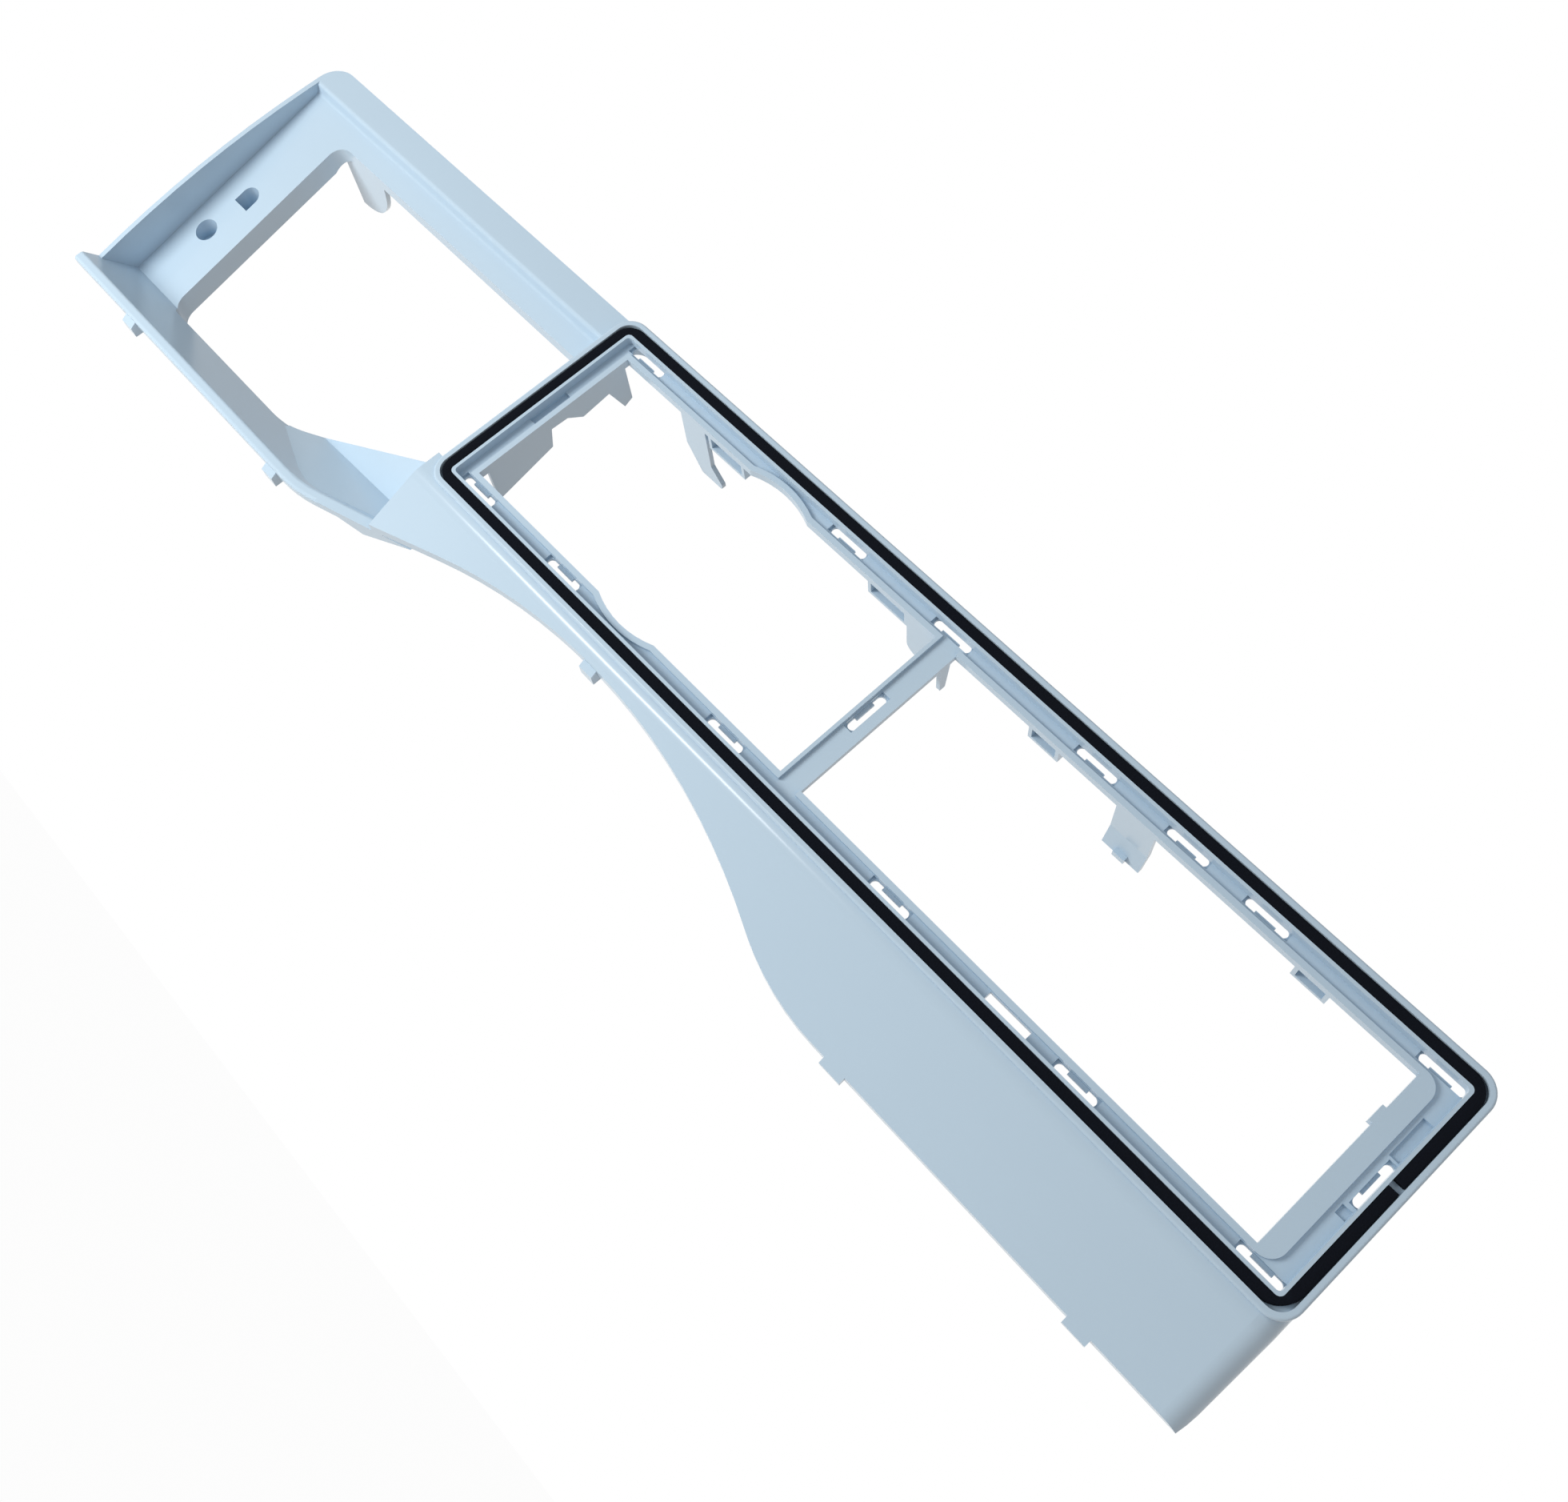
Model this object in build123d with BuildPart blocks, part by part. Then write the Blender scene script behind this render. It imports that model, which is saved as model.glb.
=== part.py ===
from build123d import *
import os
from math import cos, radians, sin, sqrt, tan

# Dryer control panel cover: one moulded cover and the foam gasket that lies in its panel frame.
# X runs along the cover from the drawer end to the panel end, -Y is the front and Z is up.
# The origin is the middle of the top wall's rear edge, where the cover lands on the machine.
# Depths are measured backwards from the front face of the panel rim.

# Overall sizes
cover_width = 597.0
cover_height = 137.3
cover_depth = 50.0
seat_depth = 18.0
wall = 2.2
top_left_corner = 10.0

# Door arch along the bottom edge
arch_radius = 249.5
arch_clearance = 6.3
arch_blend = 100.0
arch_tangent = 17.3
tangent_blend = 60.0

# Panel frame: rim, gasket groove, inner rim, channel and lip, from the outside inwards
frame_width = 401.0
frame_height = 99.0
frame_corner = 8.5
rim_round = 1.0
rim_land = 2.4
gasket_width = 4.0
gasket_thickness = 2.4
gasket_gap = 2.6
gasket_gap_height = 54.0
gasket_corner = 7.4
gasket_loose_corner = 10.0
groove_clearance = 0.1
groove_depth = 2.8
groove_corner = 2.0
inner_rim = 1.2
inner_rim_drop = 0.4
channel_width = 4.0
channel_depth = 4.0
channel_corner = 1.5
right_channel = 5.7
lip_width = 2.2
lip_drop = 2.6
lip_corner = 6.0
ledge_width = 7.2
ledge_tab = 1.4
ledge_tab_height = 67.0
ledge_tab_length = 6.3
plate = 2.2

# Cross-bar and dial scallops of the panel window, placed by their share of the frame's width
bar_share = 0.4544
bar_width = 9.6
bar_lip = 1.4
dial_share = 0.2439
dial_radius = 38.5

# Snap slots in the channel, placed by their share of the frame's width from its left edge
top_slots = (0.0476, 0.1718, 0.3212, 0.4499, 0.6155, 0.7132, 0.7940, 0.9609)
bottom_slots = (0.0466, 0.1681, 0.3843, 0.5820, 0.7828, 0.9609)
plain_slot_share = 0.7117
slot_length = 16.5
slot_width = 3.6
slot_gap = 0.15
slot_margin = 0.7
slot_undercut = 1.1
slot_tab_length = 8.0
slot_tab = 1.2
plain_slot_length = 17.5
right_slot_height = 50.7
bar_slot_shift = 1.1
pocket_depth = 1.2
left_pocket_height = 50.9
left_pocket_length = 17.0
right_pocket_height = 68.3
right_pocket_length = 15.6
small_pocket_height = 38.5

# Skirt below the frame
skirt_drop = 1.0
skirt_strip = 2.5
skirt_lip_depth = 14.0
skirt_bend = 14.0
skirt_corner = 8.0
skirt_overlap = 2.5
lip_return = 4.0
partition_depth = 17.0
rib_depth = 20.0
tongue_depth = 22.5
tongue_left = 28.5
tongue_peak = 9.5
tongue_right = 14.5
rib_shares = (-0.20, 0.20, 0.50, 0.79)
rib_thickness = 1.6

# Drawer surround
band_depth = 8.0
band_height = 12.8
step_run = 1.2
step_round = 1.8
floor_depth = 12.2
floor_tilt = 12.0
side_curve = 495.0
side_tangent_height = 19.0
lip_thickness = 4.0
lip_round = 1.4
ramp_angle = 36.6
cheek_tip_x = 66.7
cheek_tip_height = 26.2
cheek_tip_depth = 36.0
cheek_foot_x = 16.2
cheek_foot_height = 25.8
cheek_foot_depth = 26.0
cheek_head_x = 7.8
cheek_head_height = 43.4
cheek_head_depth = 10.0
facet_x = 32.5
facet_height = 6.6
facet_depth = 15.2

# Drawer opening
opening_left = 30.5
opening_top = 23.5
opening_bottom = 17.6
opening_corner = 7.0
opening_blend = 30.0
diagonal_start = 79.5
diagonal_rise = 28.2
flange = 2.0
flange_depth = 10.0
flange_top_depth = 6.0
guide_length = 28.0
side_heel = 20.0

# Screw pocket and locating pocket in the drawer surround
screw_inset = 13.4
screw_height = 50.2
locator_inset = 16.8
locator_height = 67.1
pocket_radius = 4.9
locator_width = 8.6
locator_length = 9.5
boss_wall = 2.0
boss_length = 10.0
screw_radius = 2.2

# Clips, hook arms and webs behind the panel window
wide_clips = (0.1474, 0.3591)
narrow_clips = (0.5524, 0.8334)
wide_clip = 19.6
narrow_clip = 13.5
clip_reach = 13.5
clip_wall = 1.5
clip_height = 7.0
arm_thickness = 1.8
taper_arm_share = 0.1092
taper_arm_width = 13.5
taper_arm_reach = 38.0
taper_arm_finger = 5.0
hook_arm_share = 0.6496
hook_arm_width = 16.3
hook_arm_bend = 23.0
hook_arm_reach = 33.0
hook_arm_drop = 2.6
arm_shoulder = 25.0
arm_tip = 3.0
arm_round = 1.2
nib_width = 5.0
nib_length = 3.0
nib_height = 2.6
bar_web = 14.0
bar_web_reach = 30.0
bar_web_round = 5.0
bar_hook_height = 78.0
bar_hook_length = 5.0
bar_hook_reach = 20.0
web_thickness = 1.8
web_heights = (0.177, 0.454, 0.472, 0.548, 0.613, 0.744, 0.797, 0.838)
web_depths = (0.480, 0.354, 0.170, 0.180, 0.288, 0.256, 0.514, 0.478)

# Snap tabs under the bottom edge: blocks behind the lip, and tongues that carry on the skirt
lip_tab_inset = 42.4
lip_tab_margin = 15.5
skirt_tab_inset = 38.8
skirt_tab_margin = 10.3
tab_width = 6.6
tab_drop = 2.7
tab_length = 7.0
tab_ramp = 2.0
skirt_tab_width = 9.2
skirt_tab_drop = 2.4

# Places worked out from the sizes above
top_z = wall / 2
left_x = -cover_width / 2
right_x = cover_width / 2
bottom_z = top_z - cover_height
frame_left = right_x - frame_width
frame_bottom = top_z - frame_height
frame_middle = (frame_left + right_x) / 2
frame_centre = (frame_bottom + top_z) / 2
arch_rise = cover_height - frame_height - arch_clearance
tangent_x = -arch_radius * sin(radians(arch_tangent))
tangent_z = bottom_z + arch_rise - arch_radius * (1 - cos(radians(arch_tangent)))
arch_start = tangent_x - (tangent_z - bottom_z) / tan(radians(arch_tangent))
blend_reach = arch_radius + arch_blend
arch_end = sqrt(blend_reach**2 - (blend_reach - arch_rise) ** 2)
skirt_slope = (skirt_lip_depth - skirt_drop) / (cover_height - frame_height - skirt_strip)
step_z = top_z - band_height
side_z = top_z - side_tangent_height
groove_width = gasket_width + 2 * groove_clearance
inner_rim_inset = rim_land + groove_width
channel_inset = inner_rim_inset + inner_rim
lip_inset = channel_inset + channel_width
window_inset = lip_inset + lip_width
plate_depth = channel_depth + plate
ledge_right = right_x - channel_inset - right_channel
window_left = frame_left + window_inset
window_right = ledge_right - ledge_width
window_bottom = frame_bottom + window_inset
window_top = top_z - window_inset
dial_x = frame_left + dial_share * frame_width
bar_x = frame_left + bar_share * frame_width
opening_low = bottom_z + opening_bottom
opening_high = top_z - opening_top
opening_x = left_x + opening_left
screw_x = left_x + screw_inset
locator_x = left_x + locator_inset
screw_z = bottom_z + screw_height
locator_z = bottom_z + locator_height
slot_inset = channel_inset + slot_gap + slot_width / 2
beyond = cover_width

# Slots of the channel and the bar, turned so that each tab is on the window's side
top_slot_z = top_z - slot_inset + slot_undercut
bottom_slot_z = frame_bottom + slot_inset
right_slot_x = right_x - slot_inset + slot_undercut
slot_places = [
    *(Location((frame_left + share * frame_width, top_slot_z, 0)) for share in top_slots),
    *(
        Location((frame_left + share * frame_width, bottom_slot_z, 0), (0, 0, 180))
        for share in bottom_slots
    ),
    Location((right_slot_x, frame_bottom + right_slot_height, 0), (0, 0, -90)),
    Location((bar_x - bar_slot_shift, frame_centre, 0), (0, 0, -90)),
]


def at_depth(depth):
    """Plane of the front view, set back from the rim by depth."""
    return Plane.XZ.offset(seat_depth - depth)


def y_at(depth):
    """Y of a point that lies behind the rim by depth."""
    return depth - seat_depth


def floor_at(z):
    """Depth of the drawer surround's sloping floor at height z."""
    return floor_depth + (step_z - z) * tan(radians(floor_tilt))


def skirt_at(z):
    """Depth of the skirt's sloping face at height z."""
    return skirt_lip_depth - skirt_slope * (z - bottom_z)


def cover_outline(reach, shrink):
    """Front outline with the door arch, its other sides moved out by reach, then drawn in by shrink."""
    foot = sqrt(arch_radius**2 - (arch_radius - arch_rise) ** 2)
    with BuildSketch() as outline:
        with BuildLine():
            Polyline(
                (tangent_x, tangent_z),
                (arch_start, bottom_z),
                (left_x - reach, bottom_z),
                (left_x - reach, top_z + reach),
                (right_x + reach, top_z + reach),
                (right_x + reach, bottom_z),
                (foot, bottom_z),
            )
            ThreePointArc((tangent_x, tangent_z), (0, bottom_z + arch_rise), (foot, bottom_z))
        make_face()
        for corner, radius in (
            ((arch_start, bottom_z), tangent_blend),
            ((foot, bottom_z), arch_blend),
            ((left_x - reach, top_z + reach), top_left_corner),
            ((right_x + reach, top_z + reach), frame_corner),
        ):
            fillet(outline.vertices().sort_by_distance(corner)[0], radius)
        if shrink:
            offset(amount=-shrink, kind=Kind.INTERSECTION)
    return outline.sketch


def frame_outline(inset, corner):
    """Rounded rectangle of the panel frame, drawn in by inset."""
    with BuildSketch() as outline:
        with Locations((frame_middle, frame_centre)):
            RectangleRounded(frame_width - 2 * inset, frame_height - 2 * inset, corner)
    return outline.sketch


def box_sketch(x_from, x_to, z_from, z_to):
    """Rectangle of the front view between two corners."""
    with BuildSketch() as outline:
        with Locations((x_from, z_from)):
            Rectangle(x_to - x_from, z_to - z_from, align=Align.MIN)
    return outline.sketch


def drawer_floor(inset, x_to):
    """Solid behind the band, the step and the sloping floor, every face drawn in by inset."""
    low = bottom_z - inset
    rear = y_at(cover_depth) + inset
    with BuildPart() as core:
        with BuildSketch(Plane.YZ.offset(left_x + inset)) as section:
            with BuildLine():
                Polyline(
                    (rear, top_z),
                    (y_at(band_depth), top_z),
                    (y_at(band_depth), step_z),
                    (y_at(floor_at(step_z - step_run)), step_z - step_run),
                    (y_at(floor_at(low)), low),
                    (rear, low),
                    close=True,
                )
            make_face()
            fillet(section.vertices().filter_by_position(Axis.Y, step_z - step_run, step_z), step_round)
            if inset:
                offset(amount=-inset, kind=Kind.INTERSECTION)
        extrude(amount=x_to - left_x - inset)
        with BuildSketch(at_depth(cover_depth)):
            add(box_sketch(frame_left - diagonal_start, frame_left, bottom_z, opening_low + diagonal_rise))
        extrude(amount=cover_depth, mode=Mode.SUBTRACT)
    return core.part


def drawer_lip(inset, x_to):
    """Solid below the drawer's ramp, with the lip at its front, every face drawn in by inset."""
    grow = inset / cos(radians(ramp_angle))
    run = (cover_depth - skirt_lip_depth) * tan(radians(ramp_angle))
    with BuildPart() as core:
        with BuildSketch(at_depth(skirt_lip_depth + inset)):
            add(cover_outline(0, inset))
            add(box_sketch(left_x, x_to, bottom_z, top_z), mode=Mode.INTERSECT)
        extrude(amount=-(cover_depth - skirt_lip_depth - inset))
        with BuildSketch(at_depth(skirt_lip_depth)):
            add(cover_outline(beyond, lip_thickness - grow))
        with BuildSketch(at_depth(cover_depth)):
            add(cover_outline(beyond, lip_thickness - grow + run))
        loft(ruled=True, mode=Mode.SUBTRACT)
        if not inset:
            front = core.faces().sort_by(Axis.Y)[0]
            fillet(front.edges().filter_by_position(Axis.X, left_x, x_to, (False, False)), lip_round)
    return core.part


def behind_plane(first, second, third, inset):
    """Solid behind the plane through three corners of the drawer surround, drawn in by inset."""
    points = (first, second, third)
    corners = [Vector(frame_left - x, y_at(depth), bottom_z + height) for x, height, depth in points]
    along = (corners[1] - corners[0]).normalized()
    normal = along.cross(corners[2] - corners[0]).normalized()
    front = normal if normal.Y < 0 else -normal
    with BuildPart() as core:
        with BuildSketch(Plane(corners[0] - front * inset, x_dir=along, z_dir=front)):
            Rectangle(beyond, beyond)
        extrude(amount=-beyond)
        with BuildSketch(at_depth(cover_depth)):
            add(box_sketch(frame_left - diagonal_start, frame_left, bottom_z, opening_low + diagonal_rise))
            add(cover_outline(0, lip_thickness), mode=Mode.INTERSECT)
        extrude(amount=cover_depth, mode=Mode.INTERSECT)
    return core.part


def drawer_corner(inset):
    """Solid behind the cheek and the facet that bring the drawer surround forward to the skirt."""
    tip = (cheek_tip_x, cheek_tip_height, cheek_tip_depth)
    foot = (cheek_foot_x, cheek_foot_height, cheek_foot_depth)
    with BuildPart() as core:
        add(behind_plane(tip, foot, (cheek_head_x, cheek_head_height, cheek_head_depth), inset))
        add(behind_plane(tip, foot, (facet_x, facet_height, facet_depth), inset))
    return core.part


def skirt_core(inset, x_from, z_to):
    """Solid behind the skirt below the panel frame, every face drawn in by inset."""
    bend_z = frame_bottom - skirt_strip
    rear = y_at(cover_depth) + inset
    with BuildPart() as core:
        with BuildSketch(Plane.YZ.offset(x_from)) as section:
            with BuildLine():
                Polyline(
                    (rear, z_to + inset),
                    (y_at(skirt_drop), z_to + inset),
                    (y_at(skirt_drop), bend_z),
                    (y_at(skirt_at(bottom_z - inset)), bottom_z - inset),
                    (rear, bottom_z - inset),
                    close=True,
                )
            make_face()
            fillet(section.vertices().sort_by_distance((y_at(skirt_drop), bend_z))[0], skirt_bend)
            if inset:
                offset(amount=-inset, kind=Kind.INTERSECTION)
        extrude(amount=right_x - inset - x_from)
        end = core.faces().sort_by(Axis.X)[-1].edges()
        fillet(end.filter_by_position(Axis.Y, y_at(0), y_at(skirt_lip_depth + inset)), skirt_corner - inset)
    return core.part


def drawer_opening(grow):
    """Outline of the drawer opening, drawn out by grow."""
    with BuildSketch() as outline:
        Polygon(
            (opening_x, opening_high),
            (opening_x, opening_low),
            (frame_left - diagonal_start, opening_low),
            (frame_left - cheek_tip_x, bottom_z + cheek_tip_height),
            (frame_left, opening_low + diagonal_rise),
            (frame_left, opening_high),
            align=None,
        )
        fillet(outline.vertices().filter_by_position(Axis.X, opening_x, opening_x), opening_corner)
        bend = outline.vertices().sort_by_distance((frame_left - diagonal_start, opening_low))[0]
        fillet(bend, opening_blend)
        if grow:
            offset(amount=grow, kind=Kind.INTERSECTION)
    return outline.sketch


def slot_sketch():
    """Snap slot with round ends and the tab that narrows its middle."""
    with BuildSketch() as outline:
        SlotOverall(slot_length, slot_width)
        with Locations((0, -slot_width / 2)):
            Rectangle(slot_tab_length, 2 * slot_tab, mode=Mode.SUBTRACT)
    return outline.sketch


def lip_outline():
    """Outer edge of the raised lip round the panel window, with its bulges for the dial."""
    with BuildSketch() as outline:
        add(box_sketch(frame_left + lip_inset, ledge_right, frame_bottom + lip_inset, top_z - lip_inset))
        fillet(outline.vertices().filter_by_position(Axis.X, ledge_right, ledge_right), lip_corner)
        with Locations((dial_x, frame_centre)):
            Circle(dial_radius + lip_width)
    return outline.sketch


def bar_floor():
    """Sunken face of the cross-bar, beside its raised lip."""
    x_from = bar_x - bar_width / 2 + bar_lip
    return box_sketch(x_from, bar_x + bar_width / 2, frame_bottom + channel_inset, top_z - channel_inset)


def window_outline():
    """Panel window with the dial scallops, on both sides of the cross-bar."""
    with BuildSketch() as outline:
        add(box_sketch(window_left, window_right, window_bottom, window_top))
        with Locations((dial_x, frame_centre)):
            Circle(dial_radius)
        with Locations((bar_x, frame_centre)):
            Rectangle(bar_width, frame_height, mode=Mode.SUBTRACT)
        with Locations((window_right, frame_bottom + ledge_tab_height)):
            Rectangle(2 * ledge_tab, ledge_tab_length, mode=Mode.SUBTRACT)
    return outline.sketch


def locator_pocket():
    """Pocket for the machine's locating pin, flat at its foot and round at its head."""
    with BuildSketch() as outline:
        SlotOverall(2 * locator_length, locator_width, rotation=90)
        Rectangle(locator_width, locator_length, align=(Align.CENTER, Align.MIN), mode=Mode.INTERSECT)
    return outline.sketch


# Clips, arms and webs behind the panel window
with BuildPart() as window_clips:
    for shares, width in ((wide_clips, wide_clip), (narrow_clips, narrow_clip)):
        clip_starts = [frame_left + share * frame_width for share in shares]
        clip_places = [(start, y_at(channel_depth)) for start in clip_starts]
        hole_places = [(start + clip_wall, y_at(plate_depth)) for start in clip_starts]
        hole_reach = clip_reach - plate_depth - clip_wall
        with BuildSketch(Plane.XY.offset(window_top)):
            with Locations(clip_places):
                Rectangle(width, clip_reach - channel_depth, align=Align.MIN)
            with Locations(hole_places):
                Rectangle(width - 2 * clip_wall, hole_reach, align=Align.MIN, mode=Mode.SUBTRACT)
        extrude(amount=clip_height)
    taper_x = frame_left + taper_arm_share * frame_width
    with BuildSketch(Plane.XY.offset(window_top)) as arms:
        Polygon(
            (taper_x, y_at(channel_depth)),
            (taper_x, y_at(arm_shoulder)),
            (taper_x + taper_arm_width / 2, y_at(taper_arm_reach)),
            (taper_x + taper_arm_width + taper_arm_finger, y_at(taper_arm_reach)),
            (taper_x + taper_arm_width + taper_arm_finger, y_at(taper_arm_reach - arm_tip)),
            (taper_x + taper_arm_width, y_at(arm_shoulder + arm_tip)),
            (taper_x + taper_arm_width, y_at(channel_depth)),
            align=None,
        )
        with Locations((bar_x - bar_width / 2, y_at(channel_depth))):
            Rectangle(bar_web, bar_web_reach - channel_depth, align=(Align.MAX, Align.MIN))
        tip_from = y_at(taper_arm_reach - arm_tip)
        tips = arms.vertices().filter_by_position(Axis.Y, tip_from, y_at(taper_arm_reach))
        fillet(tips, arm_round)
        corner = arms.vertices().sort_by_distance((bar_x - bar_width / 2 - bar_web, y_at(bar_web_reach)))[0]
        fillet(corner, bar_web_round)
    extrude(amount=arm_thickness)
    hook_x = frame_left + hook_arm_share * frame_width
    with BuildSketch(Plane.YZ.offset(hook_x)):
        Polygon(
            (y_at(channel_depth), window_top),
            (y_at(hook_arm_bend), window_top),
            (y_at(hook_arm_reach), window_top - hook_arm_drop),
            (y_at(hook_arm_reach), window_top - hook_arm_drop + arm_thickness),
            (y_at(hook_arm_bend), window_top + arm_thickness),
            (y_at(channel_depth), window_top + arm_thickness),
            align=None,
        )
    extrude(amount=hook_arm_width)
    with BuildSketch(Plane.XY.offset(window_top - hook_arm_drop / 2)):
        with Locations((hook_x + hook_arm_width / 2, y_at(hook_arm_reach))):
            Rectangle(nib_width, nib_length, align=(Align.CENTER, Align.MAX))
    extrude(amount=-nib_height)
    with BuildSketch(Plane.YZ.offset(bar_x + bar_width / 2)):
        Polygon(
            (y_at(channel_depth), frame_bottom + bar_hook_height),
            (y_at(channel_depth), frame_bottom + bar_hook_height + bar_hook_length),
            (y_at(bar_hook_reach), frame_bottom + bar_hook_height + bar_hook_length / 2),
            (y_at(bar_hook_reach), frame_bottom + bar_hook_height),
            align=None,
        )
    extrude(amount=-arm_thickness)
    web_z = [frame_bottom + share * frame_height for share in web_heights]
    web_y = [y_at(share * cover_depth) for share in web_depths]
    with BuildSketch(Plane.YZ.offset(window_left)):
        Polygon(
            (y_at(channel_depth), web_z[0]),
            *zip(web_y, web_z),
            (y_at(channel_depth), web_z[-1]),
            align=None,
        )
    extrude(amount=-web_thickness)

# Ribs that stiffen the skirt
with BuildPart() as skirt_ribs:
    for share in rib_shares:
        with BuildSketch(Plane.YZ.offset(share * right_x - rib_thickness / 2)):
            with Locations((y_at(rib_depth), bottom_z)):
                Rectangle(rib_depth, cover_height - frame_height + wall, align=(Align.MAX, Align.MIN))
        extrude(amount=rib_thickness)
    add(skirt_core(wall / 2, frame_left, frame_bottom + wall), mode=Mode.INTERSECT)
    with BuildSketch(at_depth(cover_depth)):
        add(cover_outline(0, 2 * wall))
    extrude(amount=cover_depth, mode=Mode.INTERSECT)

# Hollow behind the drawer surround, the frame and the skirt
with BuildPart() as hollow:
    add(drawer_floor(wall, frame_left))
    add(drawer_lip(wall, frame_left))
    add(drawer_corner(wall))
    add(skirt_core(wall, frame_left + wall, frame_bottom))
    with BuildSketch(at_depth(cover_depth)):
        add(cover_outline(0, wall))
    extrude(amount=cover_depth, mode=Mode.INTERSECT)
    with BuildSketch(at_depth(cover_depth)):
        add(frame_outline(wall, frame_corner - wall))
    extrude(amount=cover_depth - plate_depth)
    with BuildSketch(at_depth(cover_depth)):
        add(box_sketch(frame_left, right_x - wall, frame_bottom - wall, frame_bottom + 2 * wall))
        add(box_sketch(frame_left, frame_left + wall, bottom_z, top_z - wall))
    extrude(amount=cover_depth - partition_depth)
    with BuildSketch(at_depth(cover_depth)):
        add(box_sketch(left_x + wall, right_x, top_z - top_left_corner, top_z))
        add(box_sketch(right_x - top_left_corner, right_x, bottom_z, top_z))
    extrude(amount=cover_depth - seat_depth)

# Underside behind the return of the bottom edge
with BuildPart() as underside:
    add(skirt_core(lip_return, frame_left + wall, frame_bottom))
    with BuildSketch(at_depth(cover_depth)):
        add(box_sketch(left_x, frame_left, bottom_z, frame_bottom))
    extrude(amount=cover_depth - skirt_lip_depth - lip_return)
    with BuildSketch(at_depth(cover_depth)):
        add(box_sketch(left_x + wall, right_x - wall, bottom_z, frame_bottom))
        add(cover_outline(0, wall), mode=Mode.SUBTRACT)
    extrude(amount=cover_depth, mode=Mode.INTERSECT)

# Tongue of the return, below the straight side of the arch
with BuildPart() as tongue:
    with BuildSketch(Plane.XY.offset(bottom_z)):
        Polygon(
            (frame_left - tongue_left, y_at(skirt_lip_depth)),
            (frame_left - tongue_peak, y_at(tongue_depth)),
            (frame_left + tongue_right, y_at(skirt_lip_depth)),
            align=None,
        )
    extrude(amount=cover_height - frame_height)
    with BuildSketch(at_depth(cover_depth)):
        add(cover_outline(0, 0))
        add(cover_outline(0, wall), mode=Mode.SUBTRACT)
    extrude(amount=cover_depth, mode=Mode.INTERSECT)

# Flange behind the drawer opening, between the floor and a plane parallel to it
with BuildPart() as opening_flange:
    with BuildSketch(at_depth(cover_depth)):
        add(box_sketch(left_x, frame_left, opening_low + diagonal_rise, top_z))
        add(box_sketch(left_x, frame_left - diagonal_start, bottom_z, top_z))
        add(drawer_opening(flange), mode=Mode.INTERSECT)
    extrude(amount=cover_depth)
    with BuildSketch(Plane.YZ.offset(left_x)):
        Polygon(
            (y_at(floor_at(top_z) + wall / 2), top_z),
            (y_at(floor_at(bottom_z) + wall / 2), bottom_z),
            (y_at(floor_at(bottom_z) + flange_depth), bottom_z),
            (y_at(floor_at(opening_high - opening_corner) + flange_depth), opening_high - opening_corner),
            (y_at(floor_at(opening_high) + flange_top_depth), opening_high),
            (y_at(floor_at(top_z) + flange_top_depth), top_z),
            align=None,
        )
    extrude(amount=cover_width, mode=Mode.INTERSECT)
    with BuildSketch(Plane.XY.offset(opening_high)):
        with Locations((opening_x - flange, y_at(floor_at(opening_high)))):
            Ellipse(guide_length + flange, cover_depth - floor_at(opening_high))
            Rectangle(2 * guide_length, cover_depth, align=Align.MIN, mode=Mode.INTERSECT)
    extrude(amount=flange)

# Bosses behind the screw pocket and the locating pocket
with BuildPart() as bosses:
    with BuildSketch(at_depth(floor_at(screw_z) + boss_length)):
        with Locations((screw_x, screw_z)):
            Circle(pocket_radius + boss_wall)
    extrude(amount=2 * boss_length)
    with BuildSketch(at_depth(floor_at(locator_z) + boss_length)):
        with Locations((locator_x, locator_z + locator_length / 2)):
            RectangleRounded(locator_width + 2 * boss_wall, locator_length + 2 * boss_wall, boss_wall)
    extrude(amount=2 * boss_length)
    add(drawer_floor(wall / 2, frame_left), mode=Mode.INTERSECT)

# Block of the panel frame with its rounded front edge
with BuildPart() as frame_block:
    with BuildSketch(at_depth(seat_depth)):
        add(frame_outline(0, frame_corner))
    extrude(amount=seat_depth)
    fillet(frame_block.faces().sort_by(Axis.Y)[0].edges(), rim_round)

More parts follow.
